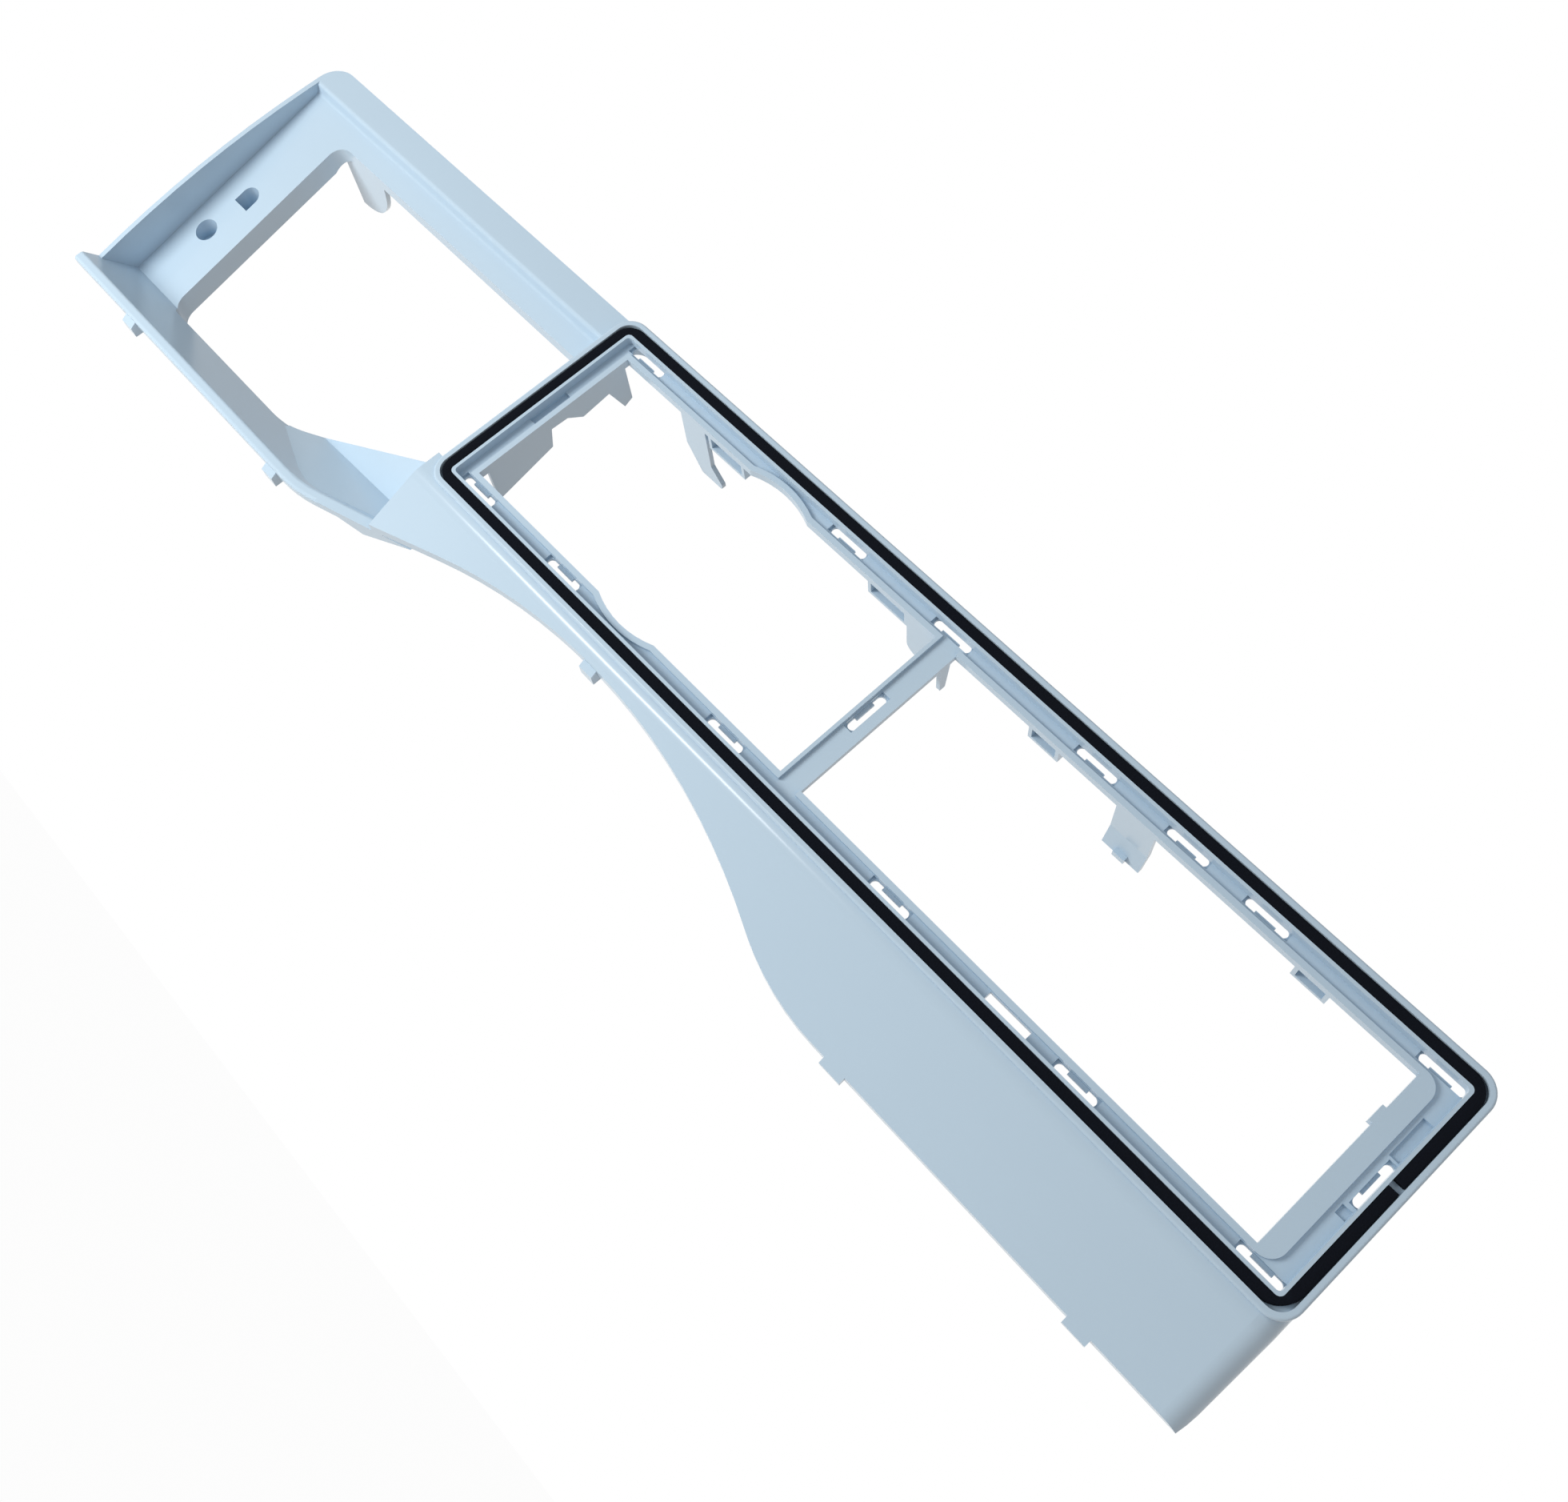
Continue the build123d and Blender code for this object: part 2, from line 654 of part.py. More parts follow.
# Moulded cover: shell of the drawer surround, the panel frame and the skirt
with BuildPart() as cover:
    add(drawer_floor(0, frame_left + frame_corner))
    add(drawer_lip(0, frame_left))
    add(drawer_corner(0))
    with BuildSketch(Plane.YZ.offset(left_x)):
        with Locations((y_at(cover_depth), bottom_z)):
            Rectangle(cover_depth - band_depth, side_z - bottom_z, align=(Align.MAX, Align.MIN))
        with Locations((y_at(band_depth) + side_curve, side_z)):
            Circle(side_curve, mode=Mode.INTERSECT)
        with Locations((y_at(cover_depth), side_z)):
            Rectangle(cover_depth - band_depth, side_tangent_height, align=(Align.MAX, Align.MIN))
    extrude(amount=wall)
    add(skirt_core(0, frame_left - skirt_overlap, frame_bottom + frame_corner))
    with BuildSketch(at_depth(cover_depth)):
        add(cover_outline(0, 0))
    extrude(amount=cover_depth, mode=Mode.INTERSECT)
    add(frame_block.part)
    add(hollow.part, mode=Mode.SUBTRACT)
    add(underside.part, mode=Mode.SUBTRACT)
    add(tongue.part)

    # Rear edge of the left wall, which slopes with the drawer surround's floor down to a heel
    with BuildSketch(Plane.YZ.offset(left_x)):
        heel_z = bottom_z + side_heel
        Polygon(
            (y_at(seat_depth), top_z),
            (y_at(floor_at(heel_z) + flange_depth), heel_z),
            (y_at(skirt_lip_depth + lip_return), bottom_z),
            (y_at(cover_depth), bottom_z),
            (y_at(cover_depth), top_z),
            align=None,
        )
    extrude(amount=wall, mode=Mode.SUBTRACT)

    # Drawer opening with its flange, and the pockets beside it
    add(opening_flange.part)
    add(bosses.part)
    with BuildSketch(at_depth(cover_depth)):
        add(drawer_opening(0))
    extrude(amount=cover_depth - cheek_head_depth + wall, mode=Mode.SUBTRACT)
    with BuildSketch(at_depth(floor_at(screw_z) + boss_length - wall)):
        with Locations((screw_x, screw_z)):
            Circle(pocket_radius)
    extrude(amount=boss_length, mode=Mode.SUBTRACT)
    with BuildSketch(at_depth(floor_at(locator_z) + boss_length - wall)):
        with Locations((locator_x, locator_z)):
            add(locator_pocket())
    extrude(amount=boss_length, mode=Mode.SUBTRACT)
    with BuildSketch(at_depth(cover_depth)):
        with Locations((screw_x, screw_z)):
            Circle(screw_radius)
    extrude(amount=cover_depth - floor_at(screw_z), mode=Mode.SUBTRACT)

    # Gasket groove, inner rim, channel and lip of the panel frame, and the window through it
    with BuildSketch(at_depth(0)):
        add(frame_outline(rim_land, frame_corner - rim_land))
        add(frame_outline(inner_rim_inset, groove_corner), mode=Mode.SUBTRACT)
    extrude(amount=-groove_depth, mode=Mode.SUBTRACT)
    with BuildSketch(at_depth(0)):
        add(frame_outline(inner_rim_inset, groove_corner))
    extrude(amount=-inner_rim_drop, mode=Mode.SUBTRACT)
    with BuildSketch(at_depth(0)):
        add(frame_outline(channel_inset, channel_corner))
    extrude(amount=-lip_drop, mode=Mode.SUBTRACT)
    with BuildSketch(at_depth(lip_drop)):
        add(frame_outline(channel_inset, channel_corner))
        add(lip_outline(), mode=Mode.SUBTRACT)
        add(bar_floor())
    extrude(amount=-(channel_depth - lip_drop), mode=Mode.SUBTRACT)
    with BuildSketch(at_depth(0)):
        add(window_outline())
    extrude(amount=-plate_depth, mode=Mode.SUBTRACT)

    # Snap slots through the channel and the cross-bar, each in its own shallow pocket
    with BuildSketch(at_depth(channel_depth)):
        for place in slot_places:
            with Locations(place):
                Rectangle(slot_length + 2 * slot_margin, slot_width + 2 * slot_gap)
        with Locations((right_x - slot_inset, frame_bottom + right_pocket_height)):
            Rectangle(slot_width, right_pocket_length)
        with Locations((right_x - slot_inset, frame_bottom + small_pocket_height)):
            Rectangle(slot_width, slot_width)
        with Locations((frame_left + slot_inset, frame_bottom + left_pocket_height)):
            Rectangle(slot_width, left_pocket_length)
    extrude(amount=-pocket_depth, mode=Mode.SUBTRACT)
    with BuildSketch(at_depth(channel_depth)):
        for place in slot_places:
            with Locations(place):
                add(slot_sketch())
        with Locations((frame_left + plain_slot_share * frame_width, frame_bottom + slot_inset)):
            Rectangle(plain_slot_length, slot_width)
    extrude(amount=-plate, mode=Mode.SUBTRACT)

    # Clips behind the window, ribs behind the skirt and snap tabs under the bottom edge
    add(window_clips.part)
    add(skirt_ribs.part)
    for x, low in (
        (left_x + lip_tab_inset, bottom_z),
        (arch_start - lip_tab_margin, bottom_z),
        (0, bottom_z + arch_rise),
    ):
        front = skirt_at(low) + tab_ramp / 2
        with BuildSketch(Plane.YZ.offset(x - tab_width / 2)):
            Polygon(
                (y_at(front), low + wall / 2),
                (y_at(front + tab_ramp), low - tab_drop),
                (y_at(front + tab_length), low - tab_drop),
                (y_at(front + tab_length), low + wall / 2),
                align=None,
            )
        extrude(amount=tab_width)
    for x in (arch_end + skirt_tab_margin, right_x - skirt_tab_inset):
        with BuildSketch(Plane.YZ.offset(x - skirt_tab_width / 2)):
            Polygon(
                (y_at(skirt_at(bottom_z)), bottom_z),
                (y_at(skirt_at(bottom_z - skirt_tab_drop)), bottom_z - skirt_tab_drop),
                (y_at(skirt_at(bottom_z - skirt_tab_drop) + wall), bottom_z - skirt_tab_drop),
                (y_at(skirt_at(bottom_z) + wall), bottom_z + wall / 2),
                (y_at(skirt_at(bottom_z + wall / 2) + wall / 2), bottom_z + wall / 2),
                align=None,
            )
        extrude(amount=skirt_tab_width)

# Foam gasket in the groove, open at a butt joint on the right side and loose in one corner
with BuildPart() as gasket:
    outer_inset = rim_land + groove_clearance
    inner_inset = inner_rim_inset - groove_clearance
    with BuildSketch(at_depth(groove_depth)) as strip:
        with Locations((frame_middle, frame_centre)):
            Rectangle(frame_width - 2 * outer_inset, frame_height - 2 * outer_inset)
        fillet(strip.vertices().sort_by_distance((right_x, frame_bottom))[1:], gasket_corner)
        fillet(strip.vertices().sort_by_distance((right_x, frame_bottom))[0], gasket_loose_corner)
        add(frame_outline(inner_inset, groove_corner + groove_clearance), mode=Mode.SUBTRACT)
        with Locations((right_x - rim_land - groove_width / 2, frame_bottom + gasket_gap_height)):
            Rectangle(groove_width, gasket_gap, mode=Mode.SUBTRACT)
    extrude(amount=gasket_thickness)

os.makedirs("parts", exist_ok=True)
cover.part.label = "panel_cover"
export_step(cover.part, "parts/panel_cover.step")
gasket.part.label = "foam_gasket"
export_step(gasket.part, "parts/foam_gasket.step")
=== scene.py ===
"""Dressed scene of the dryer control panel cover, laid out as an add-on and run as a script."""

import math

import bmesh
import bpy
from mathutils import Matrix, Vector


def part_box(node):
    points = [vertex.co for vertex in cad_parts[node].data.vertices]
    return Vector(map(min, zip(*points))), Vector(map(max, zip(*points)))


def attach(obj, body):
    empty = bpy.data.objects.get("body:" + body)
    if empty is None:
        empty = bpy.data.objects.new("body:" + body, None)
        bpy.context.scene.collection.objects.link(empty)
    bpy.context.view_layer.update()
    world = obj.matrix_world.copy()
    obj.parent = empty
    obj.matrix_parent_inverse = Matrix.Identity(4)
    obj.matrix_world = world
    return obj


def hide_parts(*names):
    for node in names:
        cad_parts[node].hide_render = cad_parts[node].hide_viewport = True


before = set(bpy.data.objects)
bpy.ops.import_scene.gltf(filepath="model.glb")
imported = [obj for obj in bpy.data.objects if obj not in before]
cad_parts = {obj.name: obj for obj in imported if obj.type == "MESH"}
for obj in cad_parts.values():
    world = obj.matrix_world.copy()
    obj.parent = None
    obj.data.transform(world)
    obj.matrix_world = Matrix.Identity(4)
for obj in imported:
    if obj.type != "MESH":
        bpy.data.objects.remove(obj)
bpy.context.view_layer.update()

bl_info = {
    "name": "Dryer Control Panel Cover",
    "version": (1, 0, 0),
    "blender": (4, 5, 0),
    "location": "View3D > Sidebar > Panel Cover",
    "description": "Finishes the moulded cover, lays its foam gasket and sets up the studio",
    "category": "Object",
}

MILLIMETRE = 0.001
GASKET_LOW, GASKET_HIGH = (Vector(corner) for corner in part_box("foam_gasket"))

# Plastic: scales of its clouding, flow marks and grain, per metre, and how the flow marks are drawn out
CLOUD_SCALE = 14.0
FLOW_SCALE = 110.0
FLOW_STRETCH = (0.25, 1.0, 1.0)
GRAIN_SCALE = 1100.0
# Plastic: reach of the shade painted into a crevice, the most it takes of the painted shade colour, and
# its samples
PAINTED_SHADE_REACH = 7.0 * MILLIMETRE
PAINTED_SHADE_SHARE = 0.4
PAINTED_SHADE_SAMPLES = 8
# Plastic: what clouding and flow marks add, as random tone, to the painted shade colour's share, and to
# the roughness
CLOUD_TONE = 0.08
FLOW_TONE = 0.03
CLOUD_ROUGHNESS = 0.04
FLOW_ROUGHNESS = 0.02
# Plastic: half of the two roughness values above, which keeps the mean where it is set
ROUGHNESS_DROP = 0.03
# Plastic: strength and height of its grain, and its gloss
GRAIN_STRENGTH = 0.05
GRAIN_HEIGHT = 0.02 * MILLIMETRE
PLASTIC_IOR = 1.5
PLASTIC_SPECULAR = 0.3

# Foam: scales of its cells and patches, per metre, and how many times paler the cells' walls are than
# their pits, whose darker colour is painted shade
CELL_SCALE = 1500.0
PATCH_SCALE = 160.0
PIT_SHADE_CONTRAST = 2.2
# Foam: its least roughness, what the patches add to it, and its gloss
FOAM_ROUGHNESS = 0.86
PATCH_ROUGHNESS = 0.12
FOAM_SPECULAR = 0.12
# Foam: strength and height of its cells
CELL_STRENGTH = 0.7
CELL_HEIGHT = 0.2 * MILLIMETRE

# Strip: distance between its rings, and points in a corner of its path and in an edge of its section
STRIP_STEP = 0.9 * MILLIMETRE
CORNER_POINTS = 10
EDGE_POINTS = 3
# Strip: scale of its lumps, per metre, and the noise at which the surface stays where it is
LUMP_SCALE = 240.0
LUMP_LEVEL = 0.6
# Strip: place of the loose corner in the path, room left beside the strip, and what counts as one point
LOOSE_CORNER_POINT = 1
PATH_CLEARANCE = 0.05 * MILLIMETRE
MERGE_DISTANCE = 0.001 * MILLIMETRE

# Floor: half its side, its own colour, and the share of plain white that is seen in its place
FLOOR_REACH = 5.0
FLOOR_COLOUR = (0.86, 0.87, 0.88, 1.0)
FLOOR_WHITE_SHARE = 0.97

# Even light: its two tints, the direction that takes the rear one, and that tint's share square to it
FRONT_TINT = (0.94, 0.97, 1.0)
REAR_TINT = (0.68, 0.53, 0.44)
REAR_DIRECTION = (0.65, 0.75, 0.0)
REAR_LEVEL = 0.4
WHITE = (1.0, 1.0, 1.0, 1.0)

# Lamps: name, place, width and height, power, colour, and whether it gives a highlight and nothing else
LAMPS = (
    ("key", (-0.46, -0.58, -0.52), (0.4, 0.4), 5.6, (1.0, 0.98, 0.95), False),
    ("side_fill", (1.1, -0.6, -0.3), (0.9, 0.9), 1.0, (1.0, 0.90, 0.82), False),
    ("bend_strip", (-0.62, -1.33, -0.29), (0.5, 0.035), 6.5, (1.0, 1.0, 1.0), True),
    ("rear_bounce", (0.3, 1.3, -0.35), (1.2, 1.2), 9.0, (1.0, 0.84, 0.72), False),
)
LAMP_AIM = Vector((0.05, 0.0, -0.07))
LAMP_BOUNCES = 1024

# Camera: width of its sensor in millimetres, and the nearest distance that it shows, in metres
SENSOR_WIDTH = 36.0
NEAREST_SEEN = 0.01


class Socket:
    """A node's output in an expression: arithmetic on values adds Math nodes."""

    def __init__(self, graph, socket):
        self.graph = graph
        self.socket = socket

    def _math(self, operation, first, second):
        return self.graph.node("ShaderNodeMath", {"operation": operation}, {0: first, 1: second})

    def __add__(self, other):
        return self._math("ADD", self, other)

    __radd__ = __add__

    def __sub__(self, other):
        return self._math("SUBTRACT", self, other)

    def __rsub__(self, other):
        return self._math("SUBTRACT", other, self)

    def __mul__(self, other):
        return self._math("MULTIPLY", self, other)

    __rmul__ = __mul__

    def __gt__(self, other):
        return self._math("GREATER_THAN", self, other)


class Graph:
    """A node tree under construction."""

    def __init__(self, tree):
        self.tree = tree

    def node(self, kind, settings=None, inputs=None, output=0):
        """Adds a node of a type, sets it up, then gives its sockets values or links."""
        made = self.tree.nodes.new(kind)
        for name, value in (settings or {}).items():
            setattr(made, name, value)
        for name, value in (inputs or {}).items():
            if isinstance(value, Socket):
                self.tree.links.new(value.socket, made.inputs[name])
            else:
                made.inputs[name].default_value = value
        return Socket(self, made.outputs[output]) if made.outputs else None

    def colours(self, factor, first, second):
        """Blend of two colours."""
        # A Mix node's colours are its sockets 6 and 7, and their blend is its output 2
        return self.node(
            "ShaderNodeMix",
            {"data_type": "RGBA"},
            {0: factor, 6: (*first, 1.0), 7: (*second, 1.0)},
            output=2,
        )


def new_material(name):
    """An empty node material and its graph."""
    material = bpy.data.materials.new(name)
    material.use_nodes = True
    material.node_tree.nodes.clear()
    return material, Graph(material.node_tree)


def dress(obj, material):
    """Gives a whole object one material."""
    obj.data.materials.clear()
    obj.data.materials.append(material)


class CoverSettings(bpy.types.PropertyGroup):
    """Finish of the moulded cover."""

    colour: bpy.props.FloatVectorProperty(
        name="Plastic colour",
        description="Colour of the moulded plastic in the open",
        subtype="COLOR",
        size=3,
        default=(0.56, 0.72, 0.86),
        min=0.0,
        max=1.0,
    )
    # Painted shade: the colour mixed into the plastic in crevices, grooves and corners, where it stands
    # in for their shade
    painted_shade_colour: bpy.props.FloatVectorProperty(
        name="Crevice colour",
        description="Colour of the plastic deep in grooves and corners",
        subtype="COLOR",
        size=3,
        default=(0.32, 0.43, 0.54),
        min=0.0,
        max=1.0,
    )
    roughness: bpy.props.FloatProperty(
        name="Roughness",
        description="Mean roughness of the satin surface",
        subtype="FACTOR",
        default=0.18,
        min=0.0,
        max=1.0,
    )


class GasketSettings(bpy.types.PropertyGroup):
    """Shape and finish of the foam gasket."""

    width: bpy.props.FloatProperty(
        name="Width",
        description="Width of the foam strip",
        subtype="DISTANCE",
        default=3.9 * MILLIMETRE,
    )
    crown: bpy.props.FloatProperty(
        name="Edge radius",
        description="Radius of the strip's long edges",
        subtype="DISTANCE",
        default=0.55 * MILLIMETRE,
    )
    corner: bpy.props.FloatProperty(
        name="Corner radius",
        description="Radius of the strip's middle line in a corner",
        subtype="DISTANCE",
        default=5.4 * MILLIMETRE,
    )
    loose_corner: bpy.props.FloatProperty(
        name="Loose corner radius",
        description="Radius of the middle line in the corner where the strip lies loose",
        subtype="DISTANCE",
        default=8.0 * MILLIMETRE,
    )
    seat_width: bpy.props.FloatProperty(
        name="Seat width",
        description="Room for the strip between the groove's outer wall and its inner rim",
        subtype="DISTANCE",
        default=4.0 * MILLIMETRE,
    )
    seat_corner: bpy.props.FloatProperty(
        name="Seat corner radius",
        description="Radius of the inner rim's corners, which the strip is pressed round",
        subtype="DISTANCE",
        default=2.1 * MILLIMETRE,
    )
    gap_height: bpy.props.FloatProperty(
        name="Joint height",
        description="Height of the butt joint above the strip's bottom edge",
        subtype="DISTANCE",
        default=51.5 * MILLIMETRE,
    )
    gap: bpy.props.FloatProperty(
        name="Joint gap",
        description="Gap between the strip's two ends",
        subtype="DISTANCE",
        default=2.6 * MILLIMETRE,
    )
    unevenness: bpy.props.FloatProperty(
        name="Unevenness",
        description="Height of the foam's soft lumps",
        subtype="DISTANCE",
        default=0.12 * MILLIMETRE,
    )
    # Painted shade: the foam has this colour deep in its cells and is paler on their walls, a darkening
    # that stands in for the shade in the pits
    colour: bpy.props.FloatVectorProperty(
        name="Foam colour",
        description="Colour of the foam deep in its cells, whose walls are paler",
        subtype="COLOR",
        size=3,
        default=(0.0030, 0.0042, 0.0075),
        min=0.0,
        max=1.0,
    )


class StudioSettings(bpy.types.PropertyGroup):
    """Camera, floor and lights."""

    camera_place: bpy.props.FloatVectorProperty(
        name="Camera place",
        description="Place of the camera",
        subtype="TRANSLATION",
        default=(0.25104, -0.49566, -0.19691),
    )
    camera_target: bpy.props.FloatVectorProperty(
        name="Camera target",
        description="Point in the middle of the picture",
        subtype="TRANSLATION",
        default=(0.05902, 0.01503, -0.07070),
    )
    camera_roll: bpy.props.FloatProperty(
        name="Camera roll",
        description="Turn of the camera about its line of sight",
        subtype="ANGLE",
        default=0.86055,
    )
    lens: bpy.props.FloatProperty(
        name="Lens",
        description="Focal length on a 36 mm sensor, in millimetres",
        unit="CAMERA",
        default=36.65,
    )
    floor_height: bpy.props.FloatProperty(
        name="Floor height",
        description="Height of the floor in the shared frame",
        subtype="DISTANCE",
        default=-1.1,
    )
    fill: bpy.props.FloatProperty(
        name="Fill light",
        description="Strength of the even light from all round",
        default=0.42,
        min=0.0,
    )


def settings():
    """The scene's three groups of settings."""
    scene = bpy.context.scene
    return scene.panel_cover, scene.panel_gasket, scene.panel_studio


def noise(graph, place, scale, detail):
    """Soft noise from 0 to 1 at a place."""
    return graph.node("ShaderNodeTexNoise", inputs={"Vector": place, "Scale": scale, "Detail": detail})


def plastic_material(cover):
    """Satin white plastic: faint clouding and flow, fine moulded grain, and shade painted darker into
    crevices.
    """
    material, graph = new_material("satin_plastic")
    place = graph.node("ShaderNodeTexCoord", output="Object")
    drawn_out = graph.node("ShaderNodeMapping", inputs={"Vector": place, "Scale": FLOW_STRETCH})
    clouding = noise(graph, place, CLOUD_SCALE, 2.0)
    flow = noise(graph, drawn_out, FLOW_SCALE, 3.0)
    grain = noise(graph, place, GRAIN_SCALE, 1.0)
    # Painted shade: ambient occlusion darkens the colour towards the painted shade colour in crevices
    # and corners, and clouding and flow add random tone
    openness = graph.node(
        "ShaderNodeAmbientOcclusion",
        {"samples": PAINTED_SHADE_SAMPLES},
        {"Distance": PAINTED_SHADE_REACH},
        output="AO",
    )
    shade = (1.0 - openness) * PAINTED_SHADE_SHARE
    tone = clouding * CLOUD_TONE + flow * FLOW_TONE
    base = graph.colours(shade + tone, tuple(cover.colour), tuple(cover.painted_shade_colour))
    rough = cover.roughness - ROUGHNESS_DROP + flow * FLOW_ROUGHNESS + clouding * CLOUD_ROUGHNESS
    bump = graph.node(
        "ShaderNodeBump",
        inputs={"Strength": GRAIN_STRENGTH, "Distance": GRAIN_HEIGHT, "Height": grain},
    )
    surface = graph.node(
        "ShaderNodeBsdfPrincipled",
        inputs={
            "Base Color": base,
            "Roughness": rough,
            "Normal": bump,
            "IOR": PLASTIC_IOR,
            "Specular IOR Level": PLASTIC_SPECULAR,
        },
    )
    graph.node("ShaderNodeOutputMaterial", inputs={"Surface": surface})
    return material


def foam_material(gasket):
    """Black foam: open cells that break up a dead matt surface, their pits painted darker as shade and
    their walls paler in random patches.
    """
    material, graph = new_material("black_foam")
    place = graph.node("ShaderNodeTexCoord", output="Object")
    cells = graph.node("ShaderNodeTexVoronoi", inputs={"Vector": place, "Scale": CELL_SCALE})
    patches = noise(graph, place, PATCH_SCALE, 4.0)
    # Painted shade: the cells' pits keep the dark colour and their walls are paler, more so in random
    # patches
    pale = tuple(channel * PIT_SHADE_CONTRAST for channel in gasket.colour)
    base = graph.colours(patches * cells, tuple(gasket.colour), pale)
    bump = graph.node(
        "ShaderNodeBump",
        inputs={"Strength": CELL_STRENGTH, "Distance": CELL_HEIGHT, "Height": cells + patches},
    )
    surface = graph.node(
        "ShaderNodeBsdfPrincipled",
        inputs={
            "Base Color": base,
            "Roughness": FOAM_ROUGHNESS + patches * PATCH_ROUGHNESS,
            "Normal": bump,
            "Specular IOR Level": FOAM_SPECULAR,
        },
    )
    graph.node("ShaderNodeOutputMaterial", inputs={"Surface": surface})
    return material


def gasket_tree():
    """Geometry nodes that sweep a round-edged foam strip along a path of straight runs."""
    tree = bpy.data.node_groups.new("foam_strip", "GeometryNodeTree")
    graph = Graph(tree)
    interface = tree.interface
    interface.new_socket("Path", in_out="INPUT", socket_type="NodeSocketGeometry")
    sizes = ("Width", "Thickness", "Edge Radius", "Corner Radius", "Loose Corner Radius", "Unevenness")
    for name in sizes:
        interface.new_socket(name, in_out="INPUT", socket_type="NodeSocketFloat")
    interface.new_socket("Loose Corner", in_out="INPUT", socket_type="NodeSocketInt")
    interface.new_socket("Foam", in_out="INPUT", socket_type="NodeSocketMaterial")
    interface.new_socket("Strip", in_out="OUTPUT", socket_type="NodeSocketGeometry")
    group = graph.node("NodeGroupInput").socket.node
    given = {socket.name: Socket(graph, socket) for socket in group.outputs if socket.name}
    index = graph.node("GeometryNodeInputIndex")
    # A Compare node's whole numbers are its sockets 2 and 3
    loose = graph.node(
        "FunctionNodeCompare",
        {"data_type": "INT", "operation": "EQUAL"},
        {2: index, 3: given["Loose Corner"]},
    )
    radius = graph.node(
        "GeometryNodeSwitch",
        {"input_type": "FLOAT"},
        {"Switch": loose, "False": given["Corner Radius"], "True": given["Loose Corner Radius"]},
    )
    path = graph.node(
        "GeometryNodeFilletCurve",
        {"mode": "POLY"},
        {"Curve": given["Path"], "Count": CORNER_POINTS, "Radius": radius, "Limit Radius": True},
    )
    path = graph.node("GeometryNodeSubdivideCurve", inputs={"Curve": path, "Cuts": 1})
    path = graph.node(
        "GeometryNodeResampleCurve",
        {"mode": "LENGTH"},
        {"Curve": path, "Length": STRIP_STEP},
    )
    path = graph.node("GeometryNodeSetCurveNormal", {"mode": "Z_UP"}, {"Curve": path})
    section = graph.node(
        "GeometryNodeCurvePrimitiveQuadrilateral",
        inputs={"Width": given["Width"], "Height": given["Thickness"]},
    )
    section = graph.node(
        "GeometryNodeFilletCurve",
        {"mode": "POLY"},
        {"Curve": section, "Count": EDGE_POINTS, "Radius": given["Edge Radius"], "Limit Radius": True},
    )
    strip = graph.node(
        "GeometryNodeCurveToMesh",
        inputs={"Curve": path, "Profile Curve": section, "Fill Caps": True},
    )
    place = graph.node("GeometryNodeInputPosition")
    lumps = noise(graph, place, LUMP_SCALE, 2.0)
    outwards = graph.node("GeometryNodeInputNormal")
    shift = graph.node(
        "ShaderNodeVectorMath",
        {"operation": "SCALE"},
        {"Vector": outwards, "Scale": (lumps - LUMP_LEVEL) * given["Unevenness"]},
    )
    strip = graph.node("GeometryNodeSetPosition", inputs={"Geometry": strip, "Offset": shift})
    strip = graph.node("GeometryNodeSetShadeSmooth", inputs={"Geometry": strip})
    strip = graph.node("GeometryNodeRealizeInstances", inputs={"Geometry": strip})
    strip = graph.node("GeometryNodeSetMaterial", inputs={"Geometry": strip, "Material": given["Foam"]})
    graph.node("NodeGroupOutput", inputs={"Strip": strip})
    return tree


def gasket_path(gasket):
    """Middle line of the strip as straight runs in a flat plan, open at the butt joint."""
    half = gasket.width / 2 + PATH_CLEARANCE
    left, right = GASKET_LOW.x + half, GASKET_HIGH.x - half
    low, high = GASKET_LOW.z + half, GASKET_HIGH.z - half
    joint = GASKET_LOW.z + gasket.gap_height
    points = (
        (right, joint - gasket.gap / 2),
        (right, low),
        (left, low),
        (left, high),
        (right, high),
        (right, joint + gasket.gap / 2),
    )
    curve = bpy.data.curves.new("gasket_path", "CURVE")
    curve.dimensions = "3D"
    spline = curve.splines.new("POLY")
    spline.points.add(len(points) - 1)
    for point, (x, z) in zip(spline.points, points):
        point.co = (x, z, 0.0, 1.0)
    return curve


def press_round_corners(mesh, gasket):
    """Pushes the strip's inner side out of the groove's inner rim, as foam gives way there."""
    middle = (GASKET_LOW + GASKET_HIGH) / 2
    rim = (GASKET_HIGH - GASKET_LOW) / 2 - Vector((1.0, 1.0, 1.0)) * gasket.seat_width
    radius = gasket.seat_corner
    for vertex in mesh.vertices:
        offset = vertex.co - middle
        across = max(abs(offset.x) - rim.x + radius, 0.0)
        along = max(abs(offset.z) - rim.z + radius, 0.0)
        past = Vector((across, along))
        if 0.0 < past.length < radius:
            push = past * (radius / past.length - 1.0)
            vertex.co.x += math.copysign(push.x, offset.x)
            vertex.co.z += math.copysign(push.y, offset.z)


class PANELCOVER_OT_cover(bpy.types.Operator):
    """Give the moulded cover its satin plastic"""

    bl_idname = "panelcover.cover"
    bl_label = "Finish Moulded Cover"

    def execute(self, context):
        cover = settings()[0]
        dress(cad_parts["panel_cover"], plastic_material(cover))
        return {"FINISHED"}


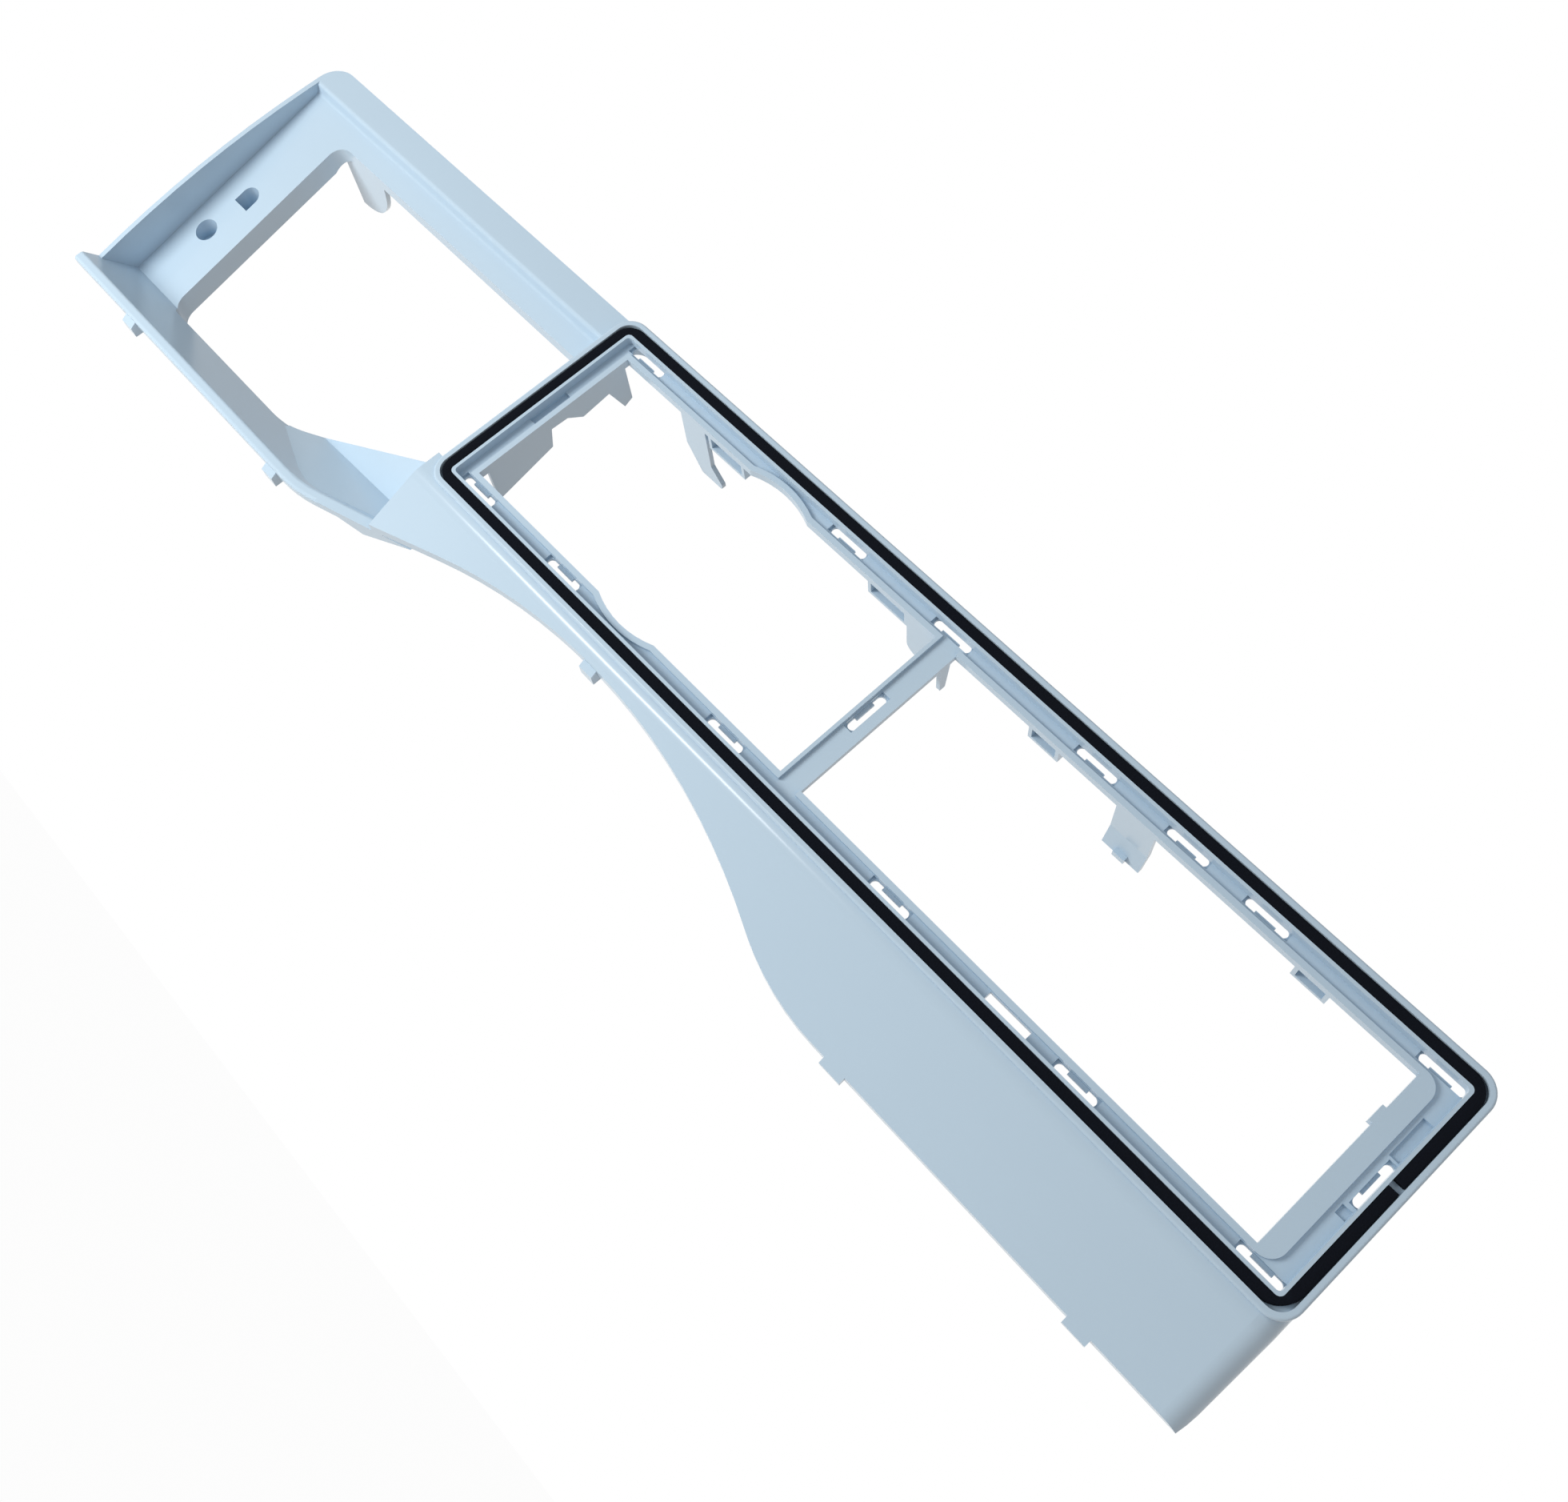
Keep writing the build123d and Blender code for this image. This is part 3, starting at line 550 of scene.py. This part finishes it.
class PANELCOVER_OT_gasket(bpy.types.Operator):
    """Lay the foam gasket in the frame's groove"""

    bl_idname = "panelcover.gasket"
    bl_label = "Lay Foam Gasket"

    def execute(self, context):
        gasket = settings()[1]
        foam = foam_material(gasket)
        tree = gasket_tree()
        source = bpy.data.objects.new("gasket_source", gasket_path(gasket))
        context.collection.objects.link(source)
        modifier = source.modifiers.new("foam_strip", "NODES")
        modifier.node_group = tree
        values = {
            "Width": gasket.width,
            "Thickness": GASKET_HIGH.y - GASKET_LOW.y,
            "Edge Radius": gasket.crown,
            "Corner Radius": gasket.corner,
            "Loose Corner Radius": gasket.loose_corner,
            "Unevenness": gasket.unevenness,
            "Loose Corner": LOOSE_CORNER_POINT,
            "Foam": foam,
        }
        for item in tree.interface.items_tree:
            if item.name in values:
                modifier[item.identifier] = values[item.name]
        evaluated = source.evaluated_get(context.evaluated_depsgraph_get())
        mesh = bpy.data.meshes.new_from_object(evaluated)
        mesh.name = "foam_strip"
        bpy.data.objects.remove(source)
        if not mesh.polygons:
            raise RuntimeError("the foam strip came out empty")
        # The flat plan stands up: its second axis becomes the height, its thickness the depth
        middle = (GASKET_LOW.y + GASKET_HIGH.y) / 2
        upright = Matrix(((1, 0, 0, 0), (0, 0, -1, middle), (0, 1, 0, 0), (0, 0, 0, 1)))
        mesh.transform(upright)
        press_round_corners(mesh, gasket)
        shell = bmesh.new()
        shell.from_mesh(mesh)
        bmesh.ops.remove_doubles(shell, verts=shell.verts, dist=MERGE_DISTANCE)
        bmesh.ops.recalc_face_normals(shell, faces=shell.faces)
        shell.to_mesh(mesh)
        shell.free()
        strip = bpy.data.objects.new("foam_strip", mesh)
        context.collection.objects.link(strip)
        dress(strip, foam)
        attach(strip, "root")
        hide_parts("foam_gasket")
        return {"FINISHED"}


class PANELCOVER_OT_studio(bpy.types.Operator):
    """Set up the floor, the lights and the camera"""

    bl_idname = "panelcover.studio"
    bl_label = "Set Up Studio"

    def execute(self, context):
        studio = settings()[2]
        scene = context.scene
        scene.view_settings.view_transform = "Standard"
        self.floor(context, studio)
        self.world(scene, studio)
        self.lamps(context)
        self.camera(context, studio)
        return {"FINISHED"}

    @staticmethod
    def seen(graph):
        """One for rays that come from the camera, a mirror or glass."""
        rays = graph.node("ShaderNodeLightPath").socket.node
        kinds = ("Is Camera Ray", "Is Glossy Ray", "Is Transmission Ray")
        camera, glossy, transmission = (Socket(graph, rays.outputs[kind]) for kind in kinds)
        return (camera + glossy + transmission) > 0.5

    def floor(self, context, studio):
        """A pale floor that takes the shadow and is seen as white."""
        mesh = bpy.data.meshes.new("studio_floor")
        plan = bmesh.new()
        bmesh.ops.create_grid(plan, x_segments=2, y_segments=2, size=FLOOR_REACH)
        bmesh.ops.translate(plan, verts=plan.verts, vec=(0.0, 0.0, studio.floor_height))
        plan.to_mesh(mesh)
        plan.free()
        floor = bpy.data.objects.new("studio_floor", mesh)
        context.collection.objects.link(floor)
        material, graph = new_material("pale_floor")
        matt = graph.node("ShaderNodeBsdfDiffuse", inputs={"Color": FLOOR_COLOUR})
        white = graph.node("ShaderNodeEmission", inputs={"Strength": 1.0})
        share = self.seen(graph) * FLOOR_WHITE_SHARE
        mixed = graph.node("ShaderNodeMixShader", inputs={0: share, 1: matt, 2: white})
        graph.node("ShaderNodeOutputMaterial", inputs={"Surface": mixed})
        material.cycles.emission_sampling = "NONE"
        dress(floor, material)

    def world(self, scene, studio):
        """Even light from all round, tinted by direction, in front of plain white."""
        world = bpy.data.worlds.new("studio_world")
        world.use_nodes = True
        world.node_tree.nodes.clear()
        graph = Graph(world.node_tree)
        direction = graph.node("ShaderNodeTexCoord", output="Generated")
        behind = graph.node(
            "ShaderNodeVectorMath",
            {"operation": "DOT_PRODUCT"},
            {0: direction, 1: REAR_DIRECTION},
            output="Value",
        )
        tint = graph.colours(behind + REAR_LEVEL, FRONT_TINT, REAR_TINT)
        soft = graph.node("ShaderNodeBackground", inputs={"Color": tint, "Strength": studio.fill})
        white = graph.node("ShaderNodeBackground", inputs={"Strength": 1.0, "Color": WHITE})
        mixed = graph.node("ShaderNodeMixShader", inputs={0: self.seen(graph), 1: soft, 2: white})
        graph.node("ShaderNodeOutputWorld", inputs={"Surface": mixed})
        world.cycles.sampling_method = "NONE"
        scene.world = world

    def lamps(self, context):
        """Soft lamps, and one that gives the bend its highlight."""
        for name, place, size, power, colour, highlight in LAMPS:
            lamp = bpy.data.lights.new(name, "AREA")
            lamp.shape = "RECTANGLE"
            lamp.size, lamp.size_y = size
            lamp.energy = power
            lamp.color = colour
            lamp.cycles.max_bounces = 0 if highlight else LAMP_BOUNCES
            holder = bpy.data.objects.new(name, lamp)
            holder.visible_glossy = highlight
            holder.visible_diffuse = not highlight
            holder.location = place
            holder.rotation_euler = (LAMP_AIM - Vector(place)).to_track_quat("-Z", "Y").to_euler()
            context.collection.objects.link(holder)

    def camera(self, context, studio):
        """The camera at the photograph's viewing angle."""
        lens = bpy.data.cameras.new("camera")
        lens.lens = studio.lens
        lens.sensor_width = SENSOR_WIDTH
        lens.sensor_fit = "HORIZONTAL"
        lens.clip_start = NEAREST_SEEN
        camera = bpy.data.objects.new("camera", lens)
        place, target = Vector(studio.camera_place), Vector(studio.camera_target)
        sight = (target - place).to_track_quat("-Z", "Y").to_matrix()
        turn = sight @ Matrix.Rotation(studio.camera_roll, 3, "Z")
        camera.matrix_world = Matrix.Translation(place) @ turn.to_4x4()
        context.collection.objects.link(camera)
        context.scene.camera = camera


class PANELCOVER_PT_sidebar(bpy.types.Panel):
    """Settings and steps of the panel cover"""

    bl_idname = "PANELCOVER_PT_sidebar"
    bl_label = "Dryer Panel Cover"
    bl_space_type = "VIEW_3D"
    bl_region_type = "UI"
    bl_category = "Panel Cover"

    def draw(self, context):
        for group, step in zip(settings(), STEPS):
            box = self.layout.box()
            for name in group.__annotations__:
                box.prop(group, name)
            box.operator(step.bl_idname)


STEPS = (PANELCOVER_OT_cover, PANELCOVER_OT_gasket, PANELCOVER_OT_studio)
CLASSES = (CoverSettings, GasketSettings, StudioSettings, *STEPS, PANELCOVER_PT_sidebar)


def register():
    for item in CLASSES:
        bpy.utils.register_class(item)
    scene = bpy.types.Scene
    scene.panel_cover = bpy.props.PointerProperty(type=CoverSettings)
    scene.panel_gasket = bpy.props.PointerProperty(type=GasketSettings)
    scene.panel_studio = bpy.props.PointerProperty(type=StudioSettings)


def unregister():
    scene = bpy.types.Scene
    del scene.panel_cover, scene.panel_gasket, scene.panel_studio
    for item in reversed(CLASSES):
        bpy.utils.unregister_class(item)


def main():
    register()
    bpy.ops.panelcover.cover()
    bpy.ops.panelcover.gasket()
    bpy.ops.panelcover.studio()


if __name__ == "__main__":
    main()
